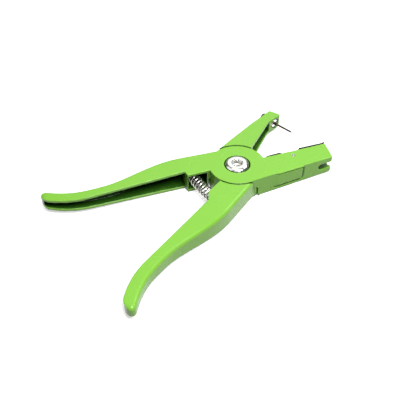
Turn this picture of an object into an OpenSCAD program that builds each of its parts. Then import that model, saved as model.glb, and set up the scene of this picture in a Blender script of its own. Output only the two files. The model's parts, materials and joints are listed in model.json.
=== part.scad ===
// Ear tag applicator: two crossed cast levers on one pivot bolt, a return spring
// between the handles, a sprung clip in one jaw and a steel pin in the other.
// The origin is on the pivot axis at the underside of the hub. +X points to the
// jaws, midway between the levers as they stand open, and +Z goes up the pivot.
// Each lever is drawn in a frame of its own, with its handle along -X, its jaw
// along +X and z = 0 half way through its thickness. The pin lever is the clip
// lever's form turned over, with another jaw.

/* [Hub] */
// Thickness of the closed hub
hub_t = 19; // [17:0.5:24]
// Radius of each lever's hub disc
hub_r = 24; // [22:0.5:26]
// Half of the angle between the levers as they stand open
spread_a = 20; // [19:0.5:22]
// Gap round a hub disc in the other lever
swing_gap = 0.5; // [0.3:0.05:0.6]
// Gap between the two hub discs
parting_gap = 0.1; // [0.05:0.05:0.2]
// Wall between the hub's seat and the hollows of a lever
shoulder_wall = 2.2; // [1.8:0.1:3]
// Angle from the jaw's side of a lever to its open stop
stop_a = 71.5; // [68:0.5:72]

/* [Handles] */
// Distance from the pivot to the end of a handle
handle_l = 162; // [150:1:175]
// Offset of the handle's outer edge at its root
root_out = 22.6; // [21:0.2:24]
// Offset of the handle's inner edge at its root
root_in = 3.1; // [2:0.1:4]
// Offset of the inner edge at the grip, on the far side of the lever's axis
grip_in = 2; // [1:0.1:3]
// Width of the grip at its waist
grip_w = 9.7; // [9:0.1:12]
// Width that the handle gains from its waist to its end
grip_gain = 1.6; // [0:0.1:3]
// Length of the straight root beyond the hub's edge
shoulder_l = 23; // [20:1:28]
// Distance from the pivot to the waist
waist_at = 112; // [104:1:120]
// Distance from the pivot to where the end begins to curl outwards
curl_from = 125; // [120:1:132]
// How far the end curls outwards
curl = 11.5; // [6:0.5:14]
// Thickness of a handle at its end
end_t = 10.6; // [9:0.2:13]
// Radius along the outer edges of a handle
edge_r = 3; // [1:0.25:3.5]
// Thickness of the upper and lower plates of the channel
plate = 2.6; // [2:0.1:3]
// Thickness of the outer wall of the channel
wall = 3; // [2.4:0.1:3.6]

/* [Return spring] */
// Length of the clip lever's spring pocket beyond the hub's edge
clip_pocket = 19; // [18:0.5:20]
// Length of the pin lever's spring pocket beyond the hub's edge
pin_pocket = 19; // [18:0.5:20]
// Length of the clip lever's pocket lip beyond the hub's edge
clip_lip = 19.5; // [18:0.5:21]
// Length of the pin lever's pocket lip beyond the hub's edge
pin_lip = 17; // [15:0.5:19]
// Length over which the clip lever's lip steps back
clip_step = 1.4; // [1:0.2:4]
// Length over which the pin lever's lip steps back
pin_step = 7.8; // [5:0.2:9]
// Thickness of the pocket's end wall
pocket_wall = 1.9; // [1.6:0.1:3]
// How far the pocket's lips reach past the lever's axis
lip = 2; // [1.5:0.1:2.2]
// Outer diameter of the spring
spring_d = 10; // [9:0.1:10.4]
// Diameter of the spring's wire
wire_d = 1.3; // [1:0.1:1.5]
// Number of turns
spring_turns = 24; // [20:1:26]
// Height of the spigot that holds an end of the spring
spigot_h = 4; // [2:0.5:6]

/* [Clip jaw] */
// Distance from the pivot to the tip of the clip jaw
clip_jaw_l = 83.4; // [79:0.2:88]
// Offset of the jaw's inner edge at its tip
clip_jaw_in = 6.1; // [5:0.1:6.5]
// Offset of the jaw's outer edge at its tip
clip_jaw_out = 12.5; // [11.5:0.1:15]
// Thickness of the clip jaw at its tip
clip_jaw_t = 16.4; // [15.6:0.1:17.6]
// Width of the slot in the tip
slot_w = 5.6; // [5:0.1:6.2]
// Length of the slot in the tip
slot_l = 14.6; // [12:0.2:16]
// Length of the raised panel on the side of the jaw
panel_l = 30; // [24:1:32]
// How far the panel stands out
panel_h = 0.9; // [0.5:0.1:1.2]
// Distance along the jaw from its tip to the end of the panel
panel_back = 30.4; // [28:0.2:34]
// Distance of the panel from the jaw's underside
panel_foot = 4.2; // [3:0.1:5]
// Distance of the panel from the jaw's upper side
panel_head = 1.8; // [1:0.1:2.5]

/* [Clip] */
// Distance from the tip of the jaw back to the clip's pin
clip_pin_back = 33.7; // [32:0.1:35]
// Offset of the clip's pin from the lever's axis
clip_pin_y = -1.7; // [-2.2:0.1:-1.2]
// Diameter of the clip's pin
clip_pin_d = 3; // [2.6:0.1:3.2]
// Width of the clip
clip_w = 10.8; // [10:0.1:11]
// Thickness of the clip's sheet
sheet = 1.2; // [0.8:0.1:1.4]
// Height of the clip's fork above the edge of the jaw
fork_rise = 5.1; // [4:0.1:5.4]
// Height of the fork's tip above the edge of the jaw
fork_tip_rise = 4.3; // [3.6:0.1:4.6]
// Width of the gap in the clip's fork
fork_gap = 4.8; // [4:0.1:5.4]
// Distance from the hub's edge to the free end of the clip's tail
tail_gap = 4.6; // [4.2:0.1:6]
// Distance from the clip's pin back to the front end of its tail
tail_back = 8.2; // [7.6:0.1:9]
// Height of the clip's tail above the edge of the jaw
tail_rise = 5.3; // [4.6:0.1:5.6]
// Distance from the clip's pin to the root of its fork
fork_reach = 10.8; // [10:0.1:13]
// Length of the gap in the clip's fork
fork_l = 16.6; // [14:0.2:17]
// Diameter of the clip spring's wire
clip_wire_d = 0.8; // [0.6:0.1:0.9]

/* [Pin jaw] */
// Distance from the pivot to the tip of the pin jaw
pin_jaw_l = 86.2; // [84:0.2:90]
// Thickness of the pin jaw at its tip
pin_jaw_t = 13.4; // [12:0.1:15]
// Length of the solid boss at the tip
boss_l = 15.6; // [14:0.2:17]
// Distance from the pivot to the knee in the outer edge
knee_x = 58; // [54:1:62]
// Offset of the outer edge at the knee
knee_out = 19.2; // [18:0.1:20]
// Offset of the outer edge at the tip
pin_jaw_out = 16.2; // [15:0.1:17]
// Distance from the pivot to the dip in the inner edge
dip_x = 40; // [36:1:44]
// Offset of the inner edge at the dip
inner_dip = 3.3; // [2:0.1:4]
// Offset of the boss's face at the pin
boss_in = 6.1; // [5.6:0.1:6.6]
// Lean of the boss's face and the pin from square to the lever
pin_lean = 10; // [7:0.5:11]

/* [Pin] */
// Distance from the tip of the jaw back to the root of the pin
pin_back = 7.6; // [7:0.1:8.4]
// Length of the pin from the boss's face to its point
pin_l = 20; // [17:0.5:21]
// Diameter of the pin
pin_d = 1.7; // [1.6:0.1:2.2]
// Diameter of the pin's thicker root
pin_root_d = 2.6; // [2.4:0.1:3]
// Diameter of the bush that holds the pin
bush_d = 7.4; // [6.6:0.1:7.6]
// Diameter of the sink round the bush
sink_d = 9.4; // [8.6:0.1:9.6]
// Diameter of the locking screw's head
lock_head_d = 7.8; // [6.8:0.1:8.2]
// Height of the locking screw's head
lock_head_h = 3.8; // [2:0.1:4.2]

/* [Pivot] */
// Diameter of the pivot bolt
bolt_d = 12; // [10:0.5:13]
// Diameter of the bolt's head
head_d = 20.6; // [19:0.2:21]
// Diameter of the sinks for the head and the nut
head_sink_d = 22; // [21.4:0.2:23]
// Depth of the sinks for the head and the nut
head_sink = 5; // [4.6:0.1:6]
// How far the head stands above the hub
head_rise = 1.6; // [1:0.1:2]
// Size of the bolt's hexagon socket across its flats
socket_af = 8; // [6:0.5:8]
// Size of the nut across its flats
nut_af = 18; // [17:0.5:18.5]
// Height of the nut
nut_h = 3.6; // [3:0.1:3.8]
// Thickness of the washer under the nut
washer_t = 1; // [0.8:0.1:1]
// Radial play of the turning fits
play = 0.05; // [0.02:0.01:0.1]

/* [Hidden] */
$fn = 64;
far = 200;
half_t = hub_t / 2;
seat_r = hub_r + swing_gap;
hollow_r = seat_r + shoulder_wall;
jaw_taper = hub_r + 2;
narrow_from = hub_r + shoulder_l;
root_at = narrow_from + 1;
grip_at = 128;
lip_root = 1;
clip_pocket_l = hub_r + clip_pocket;
pin_pocket_l = hub_r + pin_pocket;
clip_root = [clip_pocket_l, hub_r + clip_lip, clip_step];
pin_root = [pin_pocket_l, hub_r + pin_lip, pin_step];
clip_pin_x = clip_jaw_l - clip_pin_back;
pin_x = pin_jaw_l - pin_back;
stop_gap = 0.3;
end_r = (grip_w + grip_gain) / 2;
jaw_root = hub_r - 0.2;
clip_jaw_web = 0.6;
pin_jaw_web = 2.2;
tip_back = 1.8;
tip_corner = 1.8;
boss_corner = 3;
edge_wear = 0.8;
under_hub = 6;
lock_bore = bush_d * 0.7;
driver_slot = 1.2;
driver_deep = 1;
paint = [0.42, 0.78, 0.22];
steel = [0.78, 0.78, 0.76];

function mix(a, b, t) = a + (b - a) * t;
function clamp(t) = min(1, max(0, t));
function ease(t) = let (u = clamp(t)) u * u * (3 - 2 * u);
function arc(c, r, a0, a1, n) = [for (i = [0:n]) let (a = mix(a0, a1, i / n)) c + r * [cos(a), sin(a)]];

// Thickness of a lever at the distance d from the pivot, which falls to t from one distance to another
function tapered(d, from, reach, t) = mix(hub_t, t, max(0, d - from) / (reach - from));

// Edges of a handle at the distance d from the pivot
function line_in(d) = mix(root_in, -grip_in, (d - root_at) / (grip_at - root_at))
    + curl * pow(max(0, d - curl_from) / (handle_l - curl_from), 2);
function line_out(d) = mix(root_out, line_in(d) + grip_w + grip_gain * ease((d - waist_at) / (handle_l - waist_at)),
    ease((d - narrow_from) / (waist_at - narrow_from)));

// Inner edge with its lip. A root holds the pocket's end, the lip's end and the length of its step
function lip_in(d, root) = d < root[1]
    ? -mix(lip_root, lip, clamp((d - hub_r) / (root[1] - hub_r)))
    : mix(-lip, line_in(d), clamp((d - root[1]) / root[2]));

// One cross-section of a handle, with round edges on its outer side only
function ring(d, y0, y1, h, r) = [for (p = concat(
        [[y0, -h]], arc([y1 - r, r - h], r, -90, 0, 5), arc([y1 - r, h - r], r, 0, 90, 5), [[y0, h]]))
    [-d, p[0], p[1]]];

// Angles from the handle's end, where its plan closes in a half circle
function handle_ring(d, root) = let (
        from_end = d - (handle_l - end_r),
        k = from_end > 0 ? sqrt(1 - pow(from_end / end_r, 2)) : 1,
        y0 = lip_in(d, root),
        y1 = line_out(d),
        mid = (y0 + y1) / 2,
        left = handle_l - d,
        drop = left < edge_r ? edge_r - sqrt(pow(edge_r, 2) - pow(edge_r - left, 2)) : 0,
        h = tapered(d, narrow_from, handle_l, end_t) / 2 - drop * edge_wear)
    ring(d, mix(mid, y0, k), mix(mid, y1, k), h, min(edge_r, (y1 - y0) * k * 0.45, h * 0.6));
function handle_stations(root) = let (step_end = root[1] + root[2]) concat(
    [0, hub_r, (hub_r + root[1]) / 2, root[1], step_end],
    [for (i = [0:21]) mix(step_end + 2, handle_l - end_r, i / 21)],
    [for (a = [18:18:72]) handle_l - end_r + end_r * sin(a)],
    [handle_l - end_r * 0.012]);

module loft(rings) {
    n = len(rings[0]);
    last = len(rings) - 1;
    polyhedron(
        points = [for (r = rings) each r],
        faces = concat(
            [[for (i = [n - 1:-1:0]) i]],
            [for (s = [0:last - 1]) for (i = [0:n - 1])
                let (j = (i + 1) % n) each [[s * n + i, s * n + j, (s + 1) * n + j],
                    [s * n + i, (s + 1) * n + j, (s + 1) * n + i]]],
            [[for (i = [0:n - 1]) last * n + i]]));
}

// Tube of round wire along a path
function unit(v) = v / norm(v);
function heading(path, i) = unit(path[min(i + 1, len(path) - 1)] - path[max(i - 1, 0)]);
module wire(path, r, side, sides = 6) {
    loft([for (i = [0:len(path) - 1])
        let (t = heading(path, i), u = unit(cross(t, side(path[i]))), v = cross(t, u))
        [for (k = [0:sides - 1]) path[i] + r * (cos(360 * k / sides) * u + sin(360 * k / sides) * v)]]);
}

// Solid that keeps a plan between the two faces of a tapering lever
module tapering(from, reach, tip_t, less = 0, corner = 0) {
    n = 6;
    tip = tip_t / 2 - less;
    high = half_t - less;
    r = max(corner, 0.01);
    intersection() {
        translate([0, 0, -far / 2]) linear_extrude(far) children();
        rotate([90, 0, 0]) translate([0, 0, -far / 2]) linear_extrude(far)
            polygon(concat(
                [[-far, -high], [from, -high]],
                arc([reach - r, r - tip], r, -90, 0, n),
                arc([reach - r, tip - r], r, 0, 90, n),
                [[from, high], [-far, high]]));
    }
}

// Places a lever's own frame in the part's frame
module on_clip_lever() { translate([0, 0, half_t]) rotate(-spread_a) children(); }
module on_pin_lever() { translate([0, 0, half_t]) rotate(spread_a) rotate([180, 0, 0]) children(); }

// Handle, from the stop at the hub to its round end
module handle_body(root) {
    difference() {
        loft([for (d = handle_stations(root)) handle_ring(d, root)]);
        rotate(180 - stop_a) translate([0, -far, -far / 2]) cube(far);
    }
}

// Hollow of the handle behind the spring pocket, open on the inner side
module handle_channel(pocket_l) {
    start = pocket_l + pocket_wall;
    stop = handle_l - end_r - wall;
    n = 14;
    mirror([1, 0, 0]) tapering(narrow_from, handle_l, end_t, plate)
        polygon(concat(
            [[start, -root_out]],
            [for (i = [0:n]) let (d = mix(start, stop, i / n)) [d, line_out(d) - wall]],
            [[stop, -root_out]]));
}

// Hollow that takes the return spring
module spring_pocket(pocket_l) {
    mirror([1, 0, 0]) tapering(narrow_from, handle_l, end_t, plate)
        difference() {
            translate([hub_r - under_hub, -root_out])
                square([pocket_l - hub_r + under_hub, 2 * root_out - wall]);
            circle(r = hollow_r);
        }
}

// Seats of the spring: a place and a direction in the lever's frame
seat_drop = 2;
seat_gap = 0.3;
function seat_at(pocket_l) = [spring_d / 2 + seat_gap - pocket_l, root_out - wall - seat_drop];
function to_clip(p) = [p[0] * cos(spread_a) + p[1] * sin(spread_a), p[1] * cos(spread_a) - p[0] * sin(spread_a)];
function to_pin(p) = [to_clip(p)[0], -to_clip(p)[1]];
spring_top = to_clip(seat_at(clip_pocket_l));
spring_low = to_pin(seat_at(pin_pocket_l));
spring_line = spring_low - spring_top;
spring_lean = atan2(spring_line[0], -spring_line[1]);

// Round spigot inside an end of the spring, on a pad of the outer wall
module spigot(pocket_l) {
    at = seat_at(pocket_l);
    slack = 0.7;
    pad_rim = 0.4;
    pad_deep = 8;
    intersection() {
        translate([at[0], at[1], 0]) rotate([90, 0, 0]) {
            cylinder(d = spring_d - 2 * wire_d - slack, h = spigot_h);
            translate([0, 0, -pad_deep]) cylinder(d = spring_d + 2 * pad_rim, h = pad_deep);
        }
        translate([-far, root_out - wall / 2 - far, -far / 2]) cube(far);
    }
}

// Cuts the jaw back to its open stop
module jaw_stop() {
    difference() {
        children();
        rotate(-stop_a + stop_gap) translate([0, -far, -far / 2]) cube(far);
    }
}

// Outer edge of each jaw at the distance d from the pivot
clip_jaw_reach = clip_jaw_l - tip_back;
function clip_jaw_line(d) = -mix(jaw_root, clip_jaw_out, d / clip_jaw_reach);
function pin_jaw_line(d) = d < knee_x ? -mix(jaw_root, knee_out, d / knee_x)
    : -mix(knee_out, pin_jaw_out, (d - knee_x) / (pin_jaw_l - knee_x));

module clip_jaw_body() {
    jaw_stop() tapering(jaw_taper, clip_jaw_l, clip_jaw_t, 0, tip_corner)
        polygon([[0, 0], [clip_jaw_l, clip_jaw_in], [clip_jaw_reach, -clip_jaw_out], [0, -jaw_root]]);
    side_panel();
}

// Raised panel on the side of the clip jaw
module side_panel() {
    low = panel_foot - half_t;
    high = half_t - panel_head;
    panel_end = clip_jaw_l - panel_back;
    start = panel_end - panel_l;
    corner = 1.6;
    fall = 0.6;
    translate([0, -jaw_root, 0]) rotate([90, 0, atan2(jaw_root - clip_jaw_out, clip_jaw_reach)])
        translate([0, 0, -wall / 2]) linear_extrude(wall / 2 + panel_h)
            polygon(concat(
                [[start, low + fall]],
                arc([panel_end - corner, low + 2 * fall + corner], corner, -90, 0, 4),
                [[panel_end, high - fall], [start, high]]));
}

// Hollow of a jaw behind the inner face of its outer wall, open on its inner side
module jaw_hollow(edge, web) {
    stop = edge[len(edge) - 1][0];
    difference() {
        polygon(concat([[0, jaw_root]], edge, [[stop, jaw_root]]));
        circle(r = hollow_r + web);
    }
}

module clip_jaw_hollow() {
    lower_r = 2.4;
    upper_r = 0.8;
    tapering(jaw_taper, clip_jaw_l, clip_jaw_t, plate)
        jaw_hollow([for (d = [0, clip_jaw_l + wall]) [d, clip_jaw_line(d) + wall]], clip_jaw_web);
    rotate([90, 0, 0]) linear_extrude(root_out)
        polygon(concat(
            arc([clip_jaw_l - slot_l + slot_w / 2, 0], slot_w / 2, 90, 270, 16),
            arc([clip_jaw_l - lower_r, -slot_w / 2 - lower_r], lower_r, 90, 0, 5),
            [[clip_jaw_l + wall, -slot_w / 2 - lower_r], [clip_jaw_l + wall, slot_w / 2 + upper_r]],
            arc([clip_jaw_l - upper_r, slot_w / 2 + upper_r], upper_r, 0, -90, 4)));
}

module pin_jaw_body() {
    boss_x = pin_jaw_l - boss_l;
    inner_r = boss_corner / 2;
    jaw_stop() tapering(jaw_taper, pin_jaw_l, pin_jaw_t, 0, tip_corner)
        polygon(concat(
            [[0, 0], [hub_r, -inner_dip / 4], [dip_x, -inner_dip], [boss_x - 4, boss_face(boss_x)],
                [boss_x, boss_face(boss_x)]],
            arc([pin_jaw_l - inner_r, boss_face(pin_jaw_l) - inner_r], inner_r, 90, 0, 5),
            arc([pin_jaw_l - boss_corner, pin_jaw_line(pin_jaw_l) + boss_corner], boss_corner, 0, -90, 6),
            [[knee_x, pin_jaw_line(knee_x)], [0, -jaw_root]]));
}

module pin_jaw_hollow() {
    tapering(jaw_taper, pin_jaw_l, pin_jaw_t, plate)
        jaw_hollow([for (d = [0, knee_x, pin_jaw_l - boss_l]) [d, pin_jaw_line(d) + wall]], pin_jaw_web);
}

// Plane of the boss's face, and the pin's own frame: +Z out of the face, along the pin
function boss_face(x) = (x - pin_x) * tan(pin_lean) - boss_in;
module on_pin_axis() { translate([pin_x, boss_face(pin_x), 0]) rotate([-90, 0, pin_lean]) children(); }
bush_l = 7;
bush_sink = 0.4;
sink_deep = 1.8;

// One lever: its handle, hub disc and jaw, hollowed where the casting is
module lever(root) {
    difference() {
        union() {
            difference() {
                union() {
                    handle_body(root);
                    children(0);
                }
                translate([0, 0, -far]) cylinder(r = seat_r, h = far + parting_gap / 2, $fn = 96);
            }
            translate([0, 0, parting_gap / 2]) cylinder(r = hub_r, h = half_t - parting_gap / 2, $fn = 96);
        }
        handle_channel(root[0]);
        spring_pocket(root[0]);
        children(1);
        cylinder(d = bolt_d + 2 * play, h = far, center = true);
        translate([0, 0, half_t - head_sink]) cylinder(d = head_sink_d, h = far);
    }
}

module clip_lever() {
    color(paint) on_clip_lever() {
        difference() {
            lever(clip_root) {
                clip_jaw_body();
                clip_jaw_hollow();
            }
            translate([clip_pin_x, clip_pin_y, 0])
                cylinder(d = clip_pin_d, h = far, center = true);
        }
        spigot(clip_pocket_l);
    }
}

module pin_lever() {
    color(paint) on_pin_lever() {
        difference() {
            lever(pin_root) {
                pin_jaw_body();
                pin_jaw_hollow();
            }
            on_pin_axis() {
                translate([0, 0, -sink_deep]) cylinder(d = sink_d, h = far);
                translate([0, 0, -bush_sink - bush_l]) cylinder(d = bush_d, h = far);
                translate([0, 0, -far / 2]) cylinder(d = lock_bore, h = far / 2);
            }
        }
        spigot(pin_pocket_l);
    }
}

// Button-headed bolt, its head in the upper lever and its thread in the nut
module pivot_bolt() {
    shoulder = hub_t - head_sink;
    rim = 1.2;
    top = head_sink + head_rise;
    end = head_sink - washer_t - nut_h;
    chamfer = 0.8;
    crown = 0.34;
    socket_deep = 4.4;
    lead = 0.5;
    color(steel) difference() {
        rotate_extrude() polygon(concat(
            [[0, end], [bolt_d / 2 - chamfer, end], [bolt_d / 2, end + chamfer], [bolt_d / 2, shoulder],
                [head_d / 2, shoulder], [head_d / 2, hub_t - rim]],
            [for (i = [1:8]) let (a = 90 * i / 8)
                [mix(head_d * crown, head_d / 2, cos(a)), hub_t - rim + (head_rise + rim) * sin(a)]],
            [[0, shoulder + top]]));
        translate([0, 0, shoulder + top - socket_deep])
            cylinder(d = socket_af / cos(30), h = far, $fn = 6);
        translate([0, 0, shoulder + top - lead])
            cylinder(d1 = socket_af / cos(30) - lead, d2 = socket_af / cos(30) + 3 * lead, h = 2 * lead);
    }
}

module thrust_washer() {
    color(steel) translate([0, 0, head_sink - washer_t]) difference() {
        cylinder(d = head_sink_d - 1, h = washer_t);
        translate([0, 0, -1]) cylinder(d = bolt_d + 2 * play, h = washer_t + 2);
    }
}

module pivot_nut() {
    chamfer = 0.5;
    face_r = nut_af / 2 - 0.2;
    corner_r = nut_af / 2 + 1.4;
    color(steel) translate([0, 0, head_sink - washer_t - nut_h]) difference() {
        intersection() {
            cylinder(d = nut_af / cos(30), h = nut_h, $fn = 6);
            rotate_extrude() polygon([[0, 0], [face_r, 0], [corner_r, chamfer],
                [corner_r, nut_h - chamfer], [face_r, nut_h], [0, nut_h]]);
        }
        translate([0, 0, -1]) cylinder(d = bolt_d, h = nut_h + 2);
    }
}

// Compression spring between the handles, with closed ends square to the levers' walls
module return_spring() {
    r = (spring_d - wire_d) / 2;
    steps = 10;
    ends = 1;
    end_gap = 0.05;
    length = norm(spring_line) - 2 * end_gap;
    bow = length * tan(spread_a) / 4;
    total = spring_turns * steps;
    rise = wire_d * 1.12 / steps;
    open_rise = (length - wire_d - 2 * ends * steps * rise) / (total - 2 * ends * steps);
    function height(i) = i < ends * steps ? i * rise
        : i > total - ends * steps ? length - wire_d - (total - i) * rise
        : ends * steps * rise + (i - ends * steps) * open_rise;
    function bowed(a, z) = let (t = z / length, tilt = atan(4 * bow / length * (1 - 2 * t)))
        [r * cos(a) * cos(tilt) - 4 * bow * t * (1 - t), r * sin(a), z + r * cos(a) * sin(tilt)];
    path = [for (i = [0:total]) bowed(360 * i / steps, height(i) + wire_d / 2 + end_gap)];
    color(steel) translate([spring_top[0], spring_top[1], half_t])
        rotate([90, 0, spring_lean]) wire(path, wire_d / 2, function(p) [0, 0, 1]);
}

// Height of the clip's sheet along the lever, seen along the clip's pin
function jaw_edge(x) = clip_jaw_in * x / clip_jaw_l;
clip_from = hub_r + tail_gap;
clip_to = clip_jaw_l + 1.4;
tail_to = clip_pin_x - tail_back;
fork_from = clip_pin_x + fork_reach;
fork_y = jaw_edge(clip_jaw_l) + fork_tip_rise;
saddle_y = jaw_edge(clip_pin_x) + 1.5;
saddle_back = 4;
saddle_on = 6;
clip_top = [[clip_from, jaw_edge(clip_from) + tail_rise - 0.8], [clip_from + 2, jaw_edge(clip_from) + tail_rise],
    [tail_to, jaw_edge(tail_to) + tail_rise], [clip_pin_x - saddle_back, saddle_y], [clip_pin_x + saddle_on, saddle_y],
    [fork_from, jaw_edge(fork_from) + fork_rise], [clip_jaw_l - 1, fork_y], [clip_to, fork_y + 1]];

module tag_clip() {
    eye = clip_pin_d / 2 + 1.7;
    cheek = 1.6;
    back = [for (i = [len(clip_top) - 1:-1:0]) clip_top[i] - [0, sheet]];
    under = [[clip_to, fork_y + 1 - sheet], [fork_from + 2, clip_top[5][1] - sheet - cheek],
        [clip_pin_x + eye, clip_pin_y - eye], [clip_pin_x - eye, clip_pin_y - eye],
        [tail_to, clip_top[2][1] - sheet - 2 * cheek], [clip_from, clip_top[0][1] - sheet]];
    color(steel) on_clip_lever() difference() {
        linear_extrude(clip_w, center = true) polygon(concat(clip_top, under));
        linear_extrude(clip_w - 2 * sheet, center = true)
            polygon(concat(back, [[clip_from - wall, clip_top[0][1] - sheet], [clip_from - wall, -far],
                [far, -far], [far, fork_y + 1 - sheet]]));
        translate([clip_pin_x, clip_pin_y, 0])
            cylinder(d = clip_pin_d + 2 * play, h = far, center = true);
        translate([clip_to - fork_l, 0, 0]) rotate([-90, 0, 0]) {
            cylinder(d = fork_gap, h = far);
            translate([0, -fork_gap / 2, 0]) cube([far, fork_gap, far]);
        }
    }
}

// Rolled pin through both plates of the clip jaw
module clip_pin() {
    l = tapered(clip_pin_x, jaw_taper, clip_jaw_l, clip_jaw_t) - 0.1;
    color(steel) on_clip_lever() translate([clip_pin_x, clip_pin_y, 0]) difference() {
        cylinder(d = clip_pin_d, h = l, center = true);
        cylinder(d = clip_pin_d * 0.5, h = l + 1, center = true);
        translate([0, -0.2, -l]) cube([clip_pin_d, 0.4, 2 * l]);
    }
}

// Torsion spring round the clip's pin: one leg under the clip's tail, one on the jaw's outer wall
module clip_spring() {
    r = clip_pin_d / 2 + clip_wire_d / 2 + 0.3;
    turns = 4;
    steps = 10;
    leg = 8;
    floor_y = clip_jaw_line(clip_pin_x - leg) + wall - clip_pin_y;
    rest_x = tail_to - 2.5;
    tail = [rest_x - clip_pin_x, jaw_edge(rest_x) + tail_rise - sheet - clip_pin_y];
    pitch = clip_wire_d * 1.08;
    start = 240;
    sweep = turns * 360 - 120;
    n = ceil(turns * steps);
    coil = [for (i = [0:n]) let (a = start + sweep * i / n)
        [r * cos(a), r * sin(a), pitch * turns * (i / n - 0.5)]];
    low = [-leg, floor_y + clip_wire_d, coil[0][2]];
    high = [tail[0] - 1, tail[1] - clip_wire_d * 1.1, coil[n][2]];
    path = concat([low, mix(low, coil[0], 0.5)], coil, [mix(coil[n], high, 0.5), high]);
    color(steel) on_clip_lever() translate([clip_pin_x, clip_pin_y, 0])
        wire(path, clip_wire_d / 2, function(p) [0, 0, 1]);
}

// The pin that carries the tag's stud, with its tail in the bush
module applicator_pin() {
    point = 1.6;
    root_l = 3;
    tail = bush_sink + bush_l;
    color([0.3, 0.27, 0.22]) on_pin_lever() on_pin_axis() rotate_extrude()
        polygon([[0, -tail], [pin_root_d / 2, -tail], [pin_root_d / 2, root_l],
            [pin_d / 2, root_l + 0.8], [pin_d / 2, pin_l - point], [pin_d * 0.2, pin_l - 0.2], [0, pin_l]]);
}

module pin_bush() {
    color(steel) on_pin_lever() on_pin_axis() difference() {
        translate([0, 0, -bush_sink - bush_l]) cylinder(d = bush_d, h = bush_l);
        translate([0, 0, -far / 2]) cylinder(d = pin_root_d, h = far);
        translate([-far / 2, -driver_slot / 2, -bush_sink - driver_deep]) cube([far, driver_slot, far]);
    }
}

// Screw in the back of the boss that holds the pin's tail in the bush
module lock_screw() {
    back = bush_sink + bush_l;
    slope = (knee_out - pin_jaw_out) / (pin_jaw_l - knee_x);
    seat = -(pin_jaw_line(pin_x) + boss_in) / (cos(pin_lean) + slope * sin(pin_lean))
        + lock_head_d / 2 * tan(pin_lean - atan(slope)) + play;
    top = -seat - lock_head_h;
    chamfer = 0.8;
    color(steel) on_pin_lever() on_pin_axis() difference() {
        rotate_extrude() polygon([[0, -back], [lock_bore / 2, -back], [lock_bore / 2, -seat],
            [lock_head_d / 2, -seat], [lock_head_d / 2, top + chamfer], [lock_head_d / 2 - chamfer, top],
            [0, top]]);
        translate([-far / 2, -driver_slot / 2, top - driver_deep])
            cube([far, driver_slot, 2 * driver_deep]);
    }
}

clip_lever();
pin_lever();
pivot_bolt();
thrust_washer();
pivot_nut();
return_spring();
tag_clip();
clip_pin();
clip_spring();
applicator_pin();
pin_bush();
lock_screw();
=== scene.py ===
import json
import math

import bmesh
import bpy
from mathutils import Matrix, Vector


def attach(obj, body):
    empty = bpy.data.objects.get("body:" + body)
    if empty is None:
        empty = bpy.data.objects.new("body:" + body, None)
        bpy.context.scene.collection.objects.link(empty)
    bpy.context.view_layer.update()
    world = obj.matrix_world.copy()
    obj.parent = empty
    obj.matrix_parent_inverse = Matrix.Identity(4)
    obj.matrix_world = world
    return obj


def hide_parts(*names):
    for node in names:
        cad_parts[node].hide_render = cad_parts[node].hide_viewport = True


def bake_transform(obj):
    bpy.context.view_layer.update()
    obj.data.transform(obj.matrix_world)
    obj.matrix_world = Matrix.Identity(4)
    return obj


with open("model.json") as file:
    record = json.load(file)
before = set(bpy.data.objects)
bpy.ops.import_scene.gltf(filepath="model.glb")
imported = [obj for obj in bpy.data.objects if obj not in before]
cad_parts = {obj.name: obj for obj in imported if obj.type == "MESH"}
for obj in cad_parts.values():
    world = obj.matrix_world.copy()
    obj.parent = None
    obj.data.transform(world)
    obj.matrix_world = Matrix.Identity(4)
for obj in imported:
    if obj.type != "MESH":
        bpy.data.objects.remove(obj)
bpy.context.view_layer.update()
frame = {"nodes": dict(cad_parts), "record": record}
nodes = frame["nodes"]
scene = bpy.context.scene
mm = 0.001
print("stage: frame loaded")

# how far each lever leans off the middle, in degrees, and the height of the handles' middle
tool = {"lean": 20, "level": 9.5 * mm}


def newMaterial(name):
    material = bpy.data.materials.new(name)
    material.use_nodes = True
    tree = material.node_tree
    return material, tree, tree.nodes["Principled BSDF"]


def addNode(tree, kind, values=None, **settings):
    node = tree.nodes.new(kind)
    for key, value in settings.items():
        setattr(node, key, value)
    for key, value in (values or {}).items():
        node.inputs[key].default_value = value
    return node


def groupTree(name, inputs, outputs):
    tree = bpy.data.node_groups.new(name, "ShaderNodeTree")
    for label, value in inputs:
        socket = tree.interface.new_socket(name=label, in_out="INPUT", socket_type="NodeSocketFloat")
        socket.default_value = value
    for label in outputs:
        tree.interface.new_socket(name=label, in_out="OUTPUT", socket_type="NodeSocketFloat")
    entry = tree.nodes.new("NodeGroupInput")
    leave = tree.nodes.new("NodeGroupOutput")
    return tree, entry, leave


def placeGroup(tree, group, values=None):
    return addNode(tree, "ShaderNodeGroup", values, node_tree=group)


def buildSurfaceGrain():
    # slow cloud and fine speckle, by the metre, so that they keep their real scale
    tree, entry, leave = groupTree("surfaceGrain", [("Cloud Scale", 60), ("Speckle Scale", 2500)],
                                   ["Cloud", "Speckle"])
    place = tree.nodes.new("ShaderNodeTexCoord")
    for label in ("Cloud", "Speckle"):
        cloud = addNode(tree, "ShaderNodeTexNoise", {"Detail": 4.0, "Roughness": 0.55})
        tree.links.new(place.outputs["Object"], cloud.inputs["Vector"])
        tree.links.new(entry.outputs[label + " Scale"], cloud.inputs["Scale"])
        tree.links.new(cloud.outputs["Fac"], leave.inputs[label])
    return tree


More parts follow.
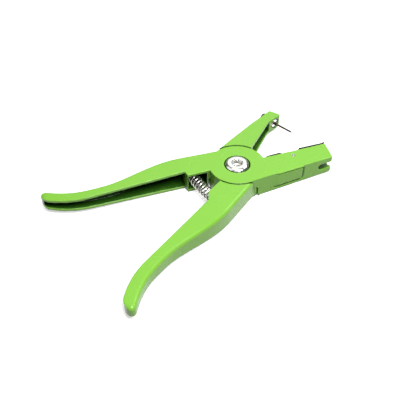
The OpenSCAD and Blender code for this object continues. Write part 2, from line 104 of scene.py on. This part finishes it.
def buildEdgeMask():
    # Edge is 1 on outer edges, broken up so that the paler edge isn't even; the paler edge is partly
    # wear and partly a painted highlight. Corner is 1 in inner corners, where shade is painted
    tree, entry, leave = groupTree("edgeMask", [("Start", 0.53), ("End", 0.6), ("Break Up", 400)],
                                   ["Edge", "Corner"])
    geometry = tree.nodes.new("ShaderNodeNewGeometry")
    place = tree.nodes.new("ShaderNodeTexCoord")
    spots = addNode(tree, "ShaderNodeTexNoise", {"Detail": 6.0, "Roughness": 0.7})
    tree.links.new(place.outputs["Object"], spots.inputs["Vector"])
    tree.links.new(entry.outputs["Break Up"], spots.inputs["Scale"])
    spread = addNode(tree, "ShaderNodeMapRange")
    tree.links.new(geometry.outputs["Pointiness"], spread.inputs["Value"])
    tree.links.new(entry.outputs["Start"], spread.inputs["From Min"])
    tree.links.new(entry.outputs["End"], spread.inputs["From Max"])
    broken = addNode(tree, "ShaderNodeMath", operation="MULTIPLY")
    tree.links.new(spread.outputs["Result"], broken.inputs[0])
    tree.links.new(spots.outputs["Fac"], broken.inputs[1])
    tree.links.new(broken.outputs["Value"], leave.inputs["Edge"])
    hollowShade = addNode(tree, "ShaderNodeMapRange", {"From Min": 0.49, "From Max": 0.45})
    tree.links.new(geometry.outputs["Pointiness"], hollowShade.inputs["Value"])
    tree.links.new(hollowShade.outputs["Result"], leave.inputs["Corner"])
    return tree


scratchLines = {"turns": (0.35, 1.4), "stretch": (0.12, 3.0, 1.0)}


def buildScratches():
    # hairline marks in two directions
    tree, entry, leave = groupTree("scratches", [("Scale", 90), ("Rarity", 0.72)], ["Scratch"])
    place = tree.nodes.new("ShaderNodeTexCoord")
    both = addNode(tree, "ShaderNodeMath", operation="MAXIMUM")
    for number, turn in enumerate(scratchLines["turns"]):
        stretch = addNode(tree, "ShaderNodeMapping",
                          {"Rotation": (0, 0, turn), "Scale": scratchLines["stretch"]})
        tree.links.new(place.outputs["Object"], stretch.inputs["Vector"])
        lines = addNode(tree, "ShaderNodeTexNoise", {"Detail": 3.0, "Roughness": 0.4})
        tree.links.new(stretch.outputs["Vector"], lines.inputs["Vector"])
        tree.links.new(entry.outputs["Scale"], lines.inputs["Scale"])
        rare = addNode(tree, "ShaderNodeMath", operation="GREATER_THAN")
        tree.links.new(lines.outputs["Fac"], rare.inputs[0])
        tree.links.new(entry.outputs["Rarity"], rare.inputs[1])
        tree.links.new(rare.outputs["Value"], both.inputs[number])
    tree.links.new(both.outputs["Value"], leave.inputs["Scratch"])
    return tree


# how open a place is where each painted-shade mask begins, and where it is full
recessRange = {"Hollow": (0.86, 0.52), "Gap": (0.9, 0.5), "samples": 8}


def buildRecessShade():
    # where shade is painted: 1 deep in a piece's own hollow, or in any narrow gap, near the floor too,
    # and 0 in the open
    tree, entry, leave = groupTree("recessShade", [("Hollow Reach", 0.02), ("Gap Reach", 0.0018)],
                                   ["Hollow", "Gap"])
    for label in ("Hollow", "Gap"):
        begin, full = recessRange[label]
        near = addNode(tree, "ShaderNodeAmbientOcclusion", only_local=label == "Hollow",
                       samples=recessRange["samples"])
        tree.links.new(entry.outputs[label + " Reach"], near.inputs["Distance"])
        mask = addNode(tree, "ShaderNodeMapRange", {"From Min": begin, "From Max": full})
        tree.links.new(near.outputs["AO"], mask.inputs["Value"])
        tree.links.new(mask.outputs["Result"], leave.inputs[label])
    return tree


surfaceGrain = buildSurfaceGrain()
edgeMask = buildEdgeMask()
scratches = buildScratches()
recessShade = buildRecessShade()


def colourSocket(sockets, label):
    return [socket for socket in sockets if socket.name == label and socket.type == "RGBA"][0]


def mixColour(tree, amount, low, high):
    node = addNode(tree, "ShaderNodeMix", data_type="RGBA")
    tree.links.new(amount, node.inputs[0])
    for label, value in (("A", low), ("B", high)):
        socket = colourSocket(node.inputs, label)
        if isinstance(value, tuple):
            socket.default_value = (*value, 1)
        else:
            tree.links.new(value, socket)
    return colourSocket(node.outputs, "Result")


def skinDetail(tree, shader, grain, marks, look):
    # roughness follows the cloud and rises in scratches, and the speckle stands up a little
    low, high = look["rough"]
    rough = addNode(tree, "ShaderNodeMapRange", {"To Min": low, "To Max": high})
    tree.links.new(grain.outputs["Cloud"], rough.inputs["Value"])
    marked = addNode(tree, "ShaderNodeMath", operation="MULTIPLY_ADD")
    tree.links.new(marks.outputs["Scratch"], marked.inputs[0])
    marked.inputs[1].default_value = look["scratch"]
    tree.links.new(rough.outputs["Result"], marked.inputs[2])
    tree.links.new(marked.outputs["Value"], shader.inputs["Roughness"])
    bump = addNode(tree, "ShaderNodeBump", {"Strength": 1.0, "Distance": look["relief"]})
    tree.links.new(grain.outputs["Speckle"], bump.inputs["Height"])
    tree.links.new(bump.outputs["Normal"], shader.inputs["Normal"])


# corner, hollow and gap are colours of painted shade; edge is a paler green, partly wear and partly a
# painted highlight
paintLook = {
    "colour": (0.16, 0.385, 0.036), "shade": (0.148, 0.365, 0.031), "edge": (0.22, 0.44, 0.08),
    "corner": (0.05, 0.16, 0.012), "hollowShade": (0.014, 0.06, 0.004), "gap": (0.012, 0.05, 0.004),
    "cloud": 45, "speckle": 900, "rough": (0.22, 0.32), "scratch": 0.12, "relief": 0.02 * mm,
    "coat": 0.06, "coatRough": 0.12, "specular": 0.36,
}


def paintMaterial():
    # painted shade in hollows, gaps and inner corners, and paler outer edges that are partly wear and
    # partly a painted highlight
    material, tree, shader = newMaterial("greenPowderCoat")
    grain = placeGroup(tree, surfaceGrain,
                       {"Cloud Scale": paintLook["cloud"], "Speckle Scale": paintLook["speckle"]})
    edges = placeGroup(tree, edgeMask)
    marks = placeGroup(tree, scratches)
    deep = placeGroup(tree, recessShade)
    tone = mixColour(tree, grain.outputs["Cloud"], paintLook["shade"], paintLook["colour"])
    tone = mixColour(tree, edges.outputs["Edge"], tone, paintLook["edge"])
    tone = mixColour(tree, edges.outputs["Corner"], tone, paintLook["corner"])
    tone = mixColour(tree, deep.outputs["Hollow"], tone, paintLook["hollowShade"])
    tone = mixColour(tree, deep.outputs["Gap"], tone, paintLook["gap"])
    tree.links.new(tone, shader.inputs["Base Color"])
    skinDetail(tree, shader, grain, marks, paintLook)
    shader.inputs["Coat Weight"].default_value = paintLook["coat"]
    shader.inputs["Coat Roughness"].default_value = paintLook["coatRough"]
    shader.inputs["Specular IOR Level"].default_value = paintLook["specular"]
    return material


steelLook = {
    "cloud": 160, "speckle": 5000, "markScale": 300, "markRarity": 0.68, "scratch": 0.15,
    "relief": 0.01 * mm, "corner": 0.45, "innerReach": 0.012,
}


def steelMaterial(name, colour, dark, rough, inner=None):
    # inner is the colour inside a coil, where no light comes
    material, tree, shader = newMaterial(name)
    grain = placeGroup(tree, surfaceGrain,
                       {"Cloud Scale": steelLook["cloud"], "Speckle Scale": steelLook["speckle"]})
    edges = placeGroup(tree, edgeMask)
    marks = placeGroup(tree, scratches,
                       {"Scale": steelLook["markScale"], "Rarity": steelLook["markRarity"]})
    # painted shade: each steel is darker in its inner corners
    corner = tuple(steelLook["corner"] * part for part in dark)
    tone = mixColour(tree, grain.outputs["Cloud"], dark, colour)
    tone = mixColour(tree, edges.outputs["Corner"], tone, corner)
    if inner:
        deep = placeGroup(tree, recessShade, {"Hollow Reach": steelLook["innerReach"]})
        tone = mixColour(tree, deep.outputs["Hollow"], tone, inner)
    tree.links.new(tone, shader.inputs["Base Color"])
    shader.inputs["Metallic"].default_value = 1.0
    skinDetail(tree, shader, grain, marks, {**steelLook, "rough": rough})
    return material


# each steel's colour, its darker cloud and its least and most roughness
looks = {
    "paint": paintMaterial(),
    "polished_steel": steelMaterial("polishedSteel", (0.93, 0.93, 0.91), (0.8, 0.79, 0.76),
                                    (0.12, 0.22)),
    "zinc_steel": steelMaterial("zincSteel", (0.86, 0.86, 0.84), (0.72, 0.72, 0.7), (0.15, 0.26)),
    "spring_steel": steelMaterial("springWire", (0.68, 0.68, 0.62), (0.48, 0.47, 0.43), (0.2, 0.32),
                                  inner=(0.02, 0.025, 0.015)),
    "clip_steel": steelMaterial("bluedSheet", (0.022, 0.024, 0.018), (0.01, 0.011, 0.009), (0.55, 0.7)),
    "dark_steel": steelMaterial("hardenedSteel", (0.07, 0.055, 0.04), (0.035, 0.028, 0.02),
                                (0.18, 0.32)),
}
record = frame["record"]
slotOf = {part["node"]: part["material_slot"] for part in record["subparts"]}
bodyOf = {name: body for body, names in record["behaviour"]["bodies"].items() for name in names}
print("stage: materials made")


def dress(piece, node):
    piece.data.materials.clear()
    piece.data.materials.append(looks[slotOf[node]])


def smooth(mesh, angle):
    for face in mesh.polygons:
        face.use_smooth = True
    mesh.set_sharp_from_angle(angle=math.radians(angle))


def standFor(piece, node):
    dress(piece, node)
    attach(piece, bodyOf[node])
    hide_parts(node)


def newPiece(name, mesh):
    piece = bpy.data.objects.new(name, mesh)
    scene.collection.objects.link(piece)
    return piece


def bakedMesh(piece):
    graph = bpy.context.evaluated_depsgraph_get()
    return bpy.data.meshes.new_from_object(piece.evaluated_get(graph))


def meshOf(name, form):
    bmesh.ops.recalc_face_normals(form, faces=form.faces)
    mesh = bpy.data.meshes.new(name)
    form.to_mesh(mesh)
    form.free()
    return mesh


def ease(share):
    share = min(1, max(0, share))
    return share * share * (3 - 2 * share)


# 1 for the lever whose jaw lies towards -Y, and -1 for the other
sideOf = {"clip_lever": 1, "pin_lever": -1}


def leverPlace(spot, side):
    # along the lever towards its jaw, and across it
    turn = math.radians(tool["lean"])
    high = side * spot.y
    return (spot.x * math.cos(turn) - high * math.sin(turn),
            spot.x * math.sin(turn) + high * math.cos(turn))


def toolPlace(along, across, side):
    # the way back from leverPlace, to x and y
    turn = math.radians(tool["lean"])
    return (along * math.cos(turn) + across * math.sin(turn),
            side * (across * math.cos(turn) - along * math.sin(turn)))


mouth = {
    "from": 150 * mm,  # where the cut begins, measured from the pivot
    "round": 156.3 * mm,  # where the handle's round end begins
    "radius": 5.65 * mm,  # of the round end
    "wall": 3.1 * mm,  # the handle's back
    "endWall": 1.9 * mm,
    "high": 2.9 * mm,  # half the channel's height
    "out": 5 * mm,  # the cut goes this far past the open side
    "digits": 1,  # the outline is read to 0.1 mm
}


def endHollow(mesh, side):
    # the channel's last stretch, which follows the handle's own outline
    outline = {}
    for vertex in mesh.vertices:
        along, across = leverPlace(vertex.co, side)
        if -along > mouth["from"]:
            outline.setdefault(round(-along / mm, mouth["digits"]) * mm, []).append(across)
    rows = sorted((away, min(found), max(found)) for away, found in outline.items())
    turning, inner, outer = [row for row in rows if row[0] > mouth["round"]][0]
    middle = (inner + outer) / 2
    shrink = 1 - mouth["endWall"] / mouth["radius"]
    plan = []
    for away, low, high in rows:
        if away < turning:
            plan.append((away, high - mouth["wall"]))
        else:
            plan.append((turning + shrink * (away - turning), middle + shrink * (high - middle)))
    openSide = min(low for away, low, high in rows) - mouth["out"]
    plan = [(plan[0][0], openSide), *plan, (plan[-1][0], openSide)]
    form = bmesh.new()
    for height in (tool["level"] - mouth["high"], tool["level"] + mouth["high"]):
        form.faces.new([form.verts.new((*toolPlace(-away, across, side), height))
                        for away, across in plan])
    form.verts.ensure_lookup_table()
    count = len(plan)
    for step in range(count):
        after = (step + 1) % count
        form.faces.new((form.verts[step], form.verts[after],
                        form.verts[count + after], form.verts[count + step]))
    return meshOf("end_hollow", form)


seam = {
    "radius": 24.5 * mm,  # of the seat round the other lever's hub disc
    "reach": 0.6 * mm,
    "open": 0.6 * mm,
    "land": 0.3 * mm,  # this near to the middle height the casting stays as it is
}


def openSeam(vertex, side):
    # the rim of the seat, worn back a little
    spot = vertex.co
    if -side * (spot.z - tool["level"]) < seam["land"]:
        return
    away = math.hypot(spot.x, spot.y)
    if abs(away - seam["radius"]) < seam["reach"]:
        grow = 1 + seam["open"] / away
        spot.x *= grow
        spot.y *= grow


panel = {
    "root": 23.8 * mm, "tip": 12.5 * mm, "reach": 81.6 * mm,  # the jaw's side, from the pivot to the tip
    "start": 23 * mm, "end": 53 * mm,
    "rise": 0.9 * mm, "head": 16.6 * mm,  # above this height the jaw's side comes out to the panel
    "skin": 1.2 * mm,  # what lies deeper than this behind the side stays as it is
    "lip": 0.15 * mm,  # what stands further out than this is the panel
    "fade": 9 * mm,  # into the hub
    "foot": 4.6 * mm, "fall": 0.6 * mm,  # the lower edge, which drops towards the hub
    "groove": 1.7 * mm, "deep": 1.1 * mm,  # the line round the panel
    "lid": 15.8 * mm, "face": 0.5 * mm,  # its highest place, and how flat the side is there
    "deepens": 4,  # the line is at its full depth a quarter of the way along
}


def finishPanel(vertex, side):
    # the raised panel fades into the hub and runs up to the jaw's upper edge
    spot = vertex.co
    along, across = leverPlace(spot, side)
    jawSide = -panel["root"] + (panel["root"] - panel["tip"]) * along / panel["reach"]
    proud = jawSide - across
    share = (along - panel["start"]) / (panel["end"] - panel["start"])
    below = panel["foot"] + panel["fall"] * share - spot.z
    near = max(below, along - panel["end"]) / panel["groove"]
    if abs(proud) < panel["face"] and share > 0 and 0 < near < 1 and spot.z < panel["lid"]:
        # a shallow line in the casting along the panel's lower edge and its end
        dug = panel["deep"] * math.sin(math.pi * near) * ease(panel["deepens"] * share)
        spot.x, spot.y = toolPlace(along, across + dug, side)
        return
    if not panel["start"] - panel["skin"] <= along <= panel["end"] or proud < -panel["skin"]:
        return
    fade = ease((along - panel["start"]) / panel["fade"])
    if proud > panel["lip"]:
        spot.x, spot.y = toolPlace(along, jawSide - proud * fade, side)
    elif spot.z > panel["head"]:
        moved = proud + panel["rise"] * fade * ease(1 + proud / panel["skin"])
        spot.x, spot.y = toolPlace(along, jawSide - moved, side)


casting = {"voxel": 0.42 * mm, "softSteps": 3, "softFactor": 0.5, "triangles": 190000}


def castPiece(node):
    # a casting's own edges and corners are round: even voxels, smoothed, then thinned
    side = sideOf[node]
    piece = newPiece(node + "_casting", nodes[node].data.copy())
    cutter = newPiece(node + "_cutter", endHollow(piece.data, side))
    cut = piece.modifiers.new("end of the channel", "BOOLEAN")
    cut.operation = "DIFFERENCE"
    cut.solver = "EXACT"
    cut.object = cutter
    even = piece.modifiers.new("even skin", "REMESH")
    even.mode = "VOXEL"
    even.voxel_size = casting["voxel"]
    even.use_smooth_shade = True
    soft = piece.modifiers.new("round edges", "SMOOTH")
    soft.factor = casting["softFactor"]
    soft.iterations = casting["softSteps"]
    mesh = bakedMesh(piece)
    count = 2 * len(mesh.polygons)  # the skin is all four-sided
    print("casting", node, "has", count, "triangles before thinning")
    if count > casting["triangles"]:
        thin = piece.modifiers.new("thin", "DECIMATE")
        thin.ratio = casting["triangles"] / count
        mesh = bakedMesh(piece)
    piece.modifiers.clear()
    bpy.data.objects.remove(cutter)
    for vertex in mesh.vertices:
        openSeam(vertex, side)
        if node == "clip_lever":
            finishPanel(vertex, side)
    piece.data = mesh
    standFor(piece, node)


edgeWidths = {
    "tag_clip": 0.25 * mm, "clip_pin": 0.15 * mm, "pin_bush": 0.15 * mm, "lock_screw": 0.3 * mm,
    "thrust_washer": 0.15 * mm, "pivot_nut": 0.2 * mm, "applicator_pin": 0.1 * mm,
    "pivot_bolt": 0.15 * mm,
}
bevel = {"segments": 3, "angle": 40, "smooth": 35, "weld": 0.001 * mm, "flat": 1}


def bevelPiece(node):
    # the solids' triangles are joined into whole faces first, so that only real edges are broken
    piece = newPiece(node + "_piece", nodes[node].data.copy())
    form = bmesh.new()
    form.from_mesh(piece.data)
    bmesh.ops.remove_doubles(form, verts=form.verts, dist=bevel["weld"])
    bmesh.ops.dissolve_limit(form, angle_limit=math.radians(bevel["flat"]), verts=form.verts,
                             edges=form.edges)
    form.to_mesh(piece.data)
    form.free()
    worn = piece.modifiers.new("broken edges", "BEVEL")
    worn.width = edgeWidths[node]
    worn.segments = bevel["segments"]
    worn.angle_limit = math.radians(bevel["angle"])
    piece.data = bakedMesh(piece)
    piece.modifiers.clear()
    smooth(piece.data, bevel["smooth"])
    standFor(piece, node)


for lever in sideOf:
    castPiece(lever)
for node in edgeWidths:
    bevelPiece(node)
print("stage: castings and small steel made")


wireCrease = 60  # degrees: only the cut ends stay sharp


def tube(name, path, wire, square, ring):
    # round wire swept along a path, with its ends closed; no part of the path runs along square
    form = bmesh.new()
    rings = []
    last = len(path) - 1
    turns = [2 * math.pi * step / ring for step in range(ring)]
    for place, point in enumerate(path):
        along = (path[min(place + 1, last)] - path[max(place - 1, 0)]).normalized()
        across = along.cross(square).normalized()
        up = along.cross(across)
        rings.append([form.verts.new(point + wire / 2 * (math.cos(turn) * across + math.sin(turn) * up))
                      for turn in turns])
    for one, two in zip(rings, rings[1:]):
        for step in range(ring):
            after = (step + 1) % ring
            form.faces.new((one[step], one[after], two[after], two[step]))
    form.faces.new(rings[0])
    form.faces.new(list(reversed(rings[-1])))
    mesh = meshOf(name, form)
    smooth(mesh, wireCrease)
    return newPiece(name, mesh)


coil = {
    "turns": 18, "outer": 10 * mm, "wire": 1.3 * mm,
    "closedPitch": 1.12,  # of the first and the last turn, in wires
    "seat": (-29.41 * mm, 29.43 * mm),  # x and y in one lever, and mirrored in the other
    "steps": 28, "ring": 14,
}


def returnSpring():
    # the ends stand square to the two levers, so the spring bows away from the hub
    high = Vector((coil["seat"][0], coil["seat"][1], tool["level"]))
    low = Vector((coil["seat"][0], -coil["seat"][1], tool["level"]))
    length = (low - high).length
    bow = length * math.tan(math.radians(tool["lean"])) / 4  # of a parabola that ends at that slope
    radius = (coil["outer"] - coil["wire"]) / 2
    closed = coil["wire"] * coil["closedPitch"]
    openPitch = (length - coil["wire"] - 2 * closed) / (coil["turns"] - 2)
    path = []
    for step in range(coil["turns"] * coil["steps"] + 1):
        turn = step / coil["steps"]
        if turn < 1:
            height = turn * closed
        elif turn > coil["turns"] - 1:
            height = length - coil["wire"] - (coil["turns"] - turn) * closed
        else:
            height = closed + (turn - 1) * openPitch
        height += coil["wire"] / 2
        share = height / length
        tilt = math.atan(4 * bow / length * (1 - 2 * share))
        across = radius * math.cos(2 * math.pi * turn)
        path.append(high + Vector((across * math.cos(tilt) - 4 * bow * share * (1 - share),
                                   -height - across * math.sin(tilt),
                                   radius * math.sin(2 * math.pi * turn))))
    piece = tube("return_spring_coil", path, coil["wire"], Vector((0, 1, 0)), coil["ring"])
    dress(piece, "return_spring")
    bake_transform(piece)
    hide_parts("return_spring")


# in the clip lever's own lines; it runs from one arm's end round the clip's pin to the other's
torsion = {
    "turns": 4, "radius": 2.2 * mm, "wire": 0.8 * mm, "rise": 0.864 * mm,
    "start": 240, "sweep": 1320,  # degrees
    "pin": (49.7 * mm, -1.7 * mm),
    "low": (-8 * mm, -12.53 * mm), "high": (-11.7 * mm, 7.77 * mm),  # the arms' ends, from the pin
    "steps": 24, "ring": 12,
}


def clipSpring():
    half = torsion["rise"] * torsion["turns"] / 2
    count = torsion["turns"] * torsion["steps"]
    loops = []
    for step in range(count + 1):
        angle = math.radians(torsion["start"] + torsion["sweep"] * step / count)
        loops.append(Vector((torsion["radius"] * math.cos(angle), torsion["radius"] * math.sin(angle),
                             half * (2 * step / count - 1))))
    low = Vector((*torsion["low"], -half))
    high = Vector((*torsion["high"], half))
    path = [low, low.lerp(loops[0], 0.5), *loops, loops[-1].lerp(high, 0.5), high]  # halfway points too
    pin = Vector((*torsion["pin"], 0))
    turn = Matrix.Rotation(math.radians(-tool["lean"]), 3, "Z")
    lift = Vector((0, 0, tool["level"]))
    path = [turn @ (point + pin) + lift for point in path]
    piece = tube("clip_spring_coil", path, torsion["wire"], Vector((0, 0, 1)), torsion["ring"])
    standFor(piece, "clip_spring")


returnSpring()
clipSpring()
print("stage: springs made")

eye = {
    "place": (-0.2409, -0.2753, 0.3343), "azimuth": -36.3, "elevation": 44.45,
    "lens": 51.75, "sensor": 36, "near": 0.01,
}


def makeCamera():
    data = bpy.data.cameras.new("camera")
    data.lens = eye["lens"]
    data.sensor_width = eye["sensor"]
    data.clip_start = eye["near"]
    camera = newPiece("camera", data)
    turn = math.radians(eye["azimuth"])
    rise = math.radians(eye["elevation"])
    forward = Vector((-math.sin(turn) * math.cos(rise), math.cos(turn) * math.cos(rise),
                      -math.sin(rise)))
    camera.rotation_mode = "QUATERNION"
    camera.rotation_quaternion = forward.to_track_quat("-Z", "Y")
    camera.location = eye["place"]
    scene.camera = camera


table = {"half": 4.0, "colour": (0.55, 0.55, 0.55), "rough": 0.9, "glow": 0.55}


def makeFloor():
    # it glows, and gives the tool no diffuse light of its own
    half = table["half"]
    corners = [(-half, -half, 0), (half, -half, 0), (half, half, 0), (-half, half, 0)]
    mesh = bpy.data.meshes.new("floor")
    mesh.from_pydata(corners, [], [(0, 1, 2, 3)])
    floor = newPiece("floor", mesh)
    material, tree, shader = newMaterial("paleFloor")
    shader.inputs["Base Color"].default_value = (*table["colour"], 1)
    shader.inputs["Roughness"].default_value = table["rough"]
    shader.inputs["Emission Color"].default_value = (1, 1, 1, 1)
    shader.inputs["Emission Strength"].default_value = table["glow"]
    mesh.materials.append(material)
    floor.visible_diffuse = False


# the two with shine make reflections only
lamps = {
    "key": {"place": (-0.03, -0.5, 1.02), "size": 0.55, "power": 20.3},
    "over": {"place": (-0.1, 0.0, 1.1), "size": 0.7, "power": 3.5},
    "right": {"place": (0.75, 0.0, 0.92), "size": 0.3, "power": 3.2},
    "card": {"place": (0.63, 0.87, 1.05), "size": 1.1, "power": 4.0},
    "front": {"place": (-0.6, -0.8, 0.62), "size": 1.2, "power": 2.8, "shine": True},
    "left": {"place": (-0.85, 0.42, 0.55), "size": 1.1, "power": 3.6, "shine": True},
}
studio = {"aim": (0, 0, 0.01), "sky": 0.12}


def makeLamps():
    aim = Vector(studio["aim"])
    for name, lamp in lamps.items():
        data = bpy.data.lights.new(name, "AREA")
        data.size = lamp["size"]
        data.energy = lamp["power"]
        light = newPiece(name, data)
        light.visible_diffuse = not lamp.get("shine")
        light.location = lamp["place"]
        light.rotation_mode = "QUATERNION"
        light.rotation_quaternion = (aim - light.location).to_track_quat("-Z", "Y")
    world = bpy.data.worlds.new("studio")
    world.use_nodes = True
    sky = world.node_tree.nodes["Background"]
    sky.inputs["Color"].default_value = (1, 1, 1, 1)
    sky.inputs["Strength"].default_value = studio["sky"]
    scene.world = world
    scene.view_settings.view_transform = "Standard"


makeCamera()
makeFloor()
makeLamps()
print("stage: camera, floor and light made")
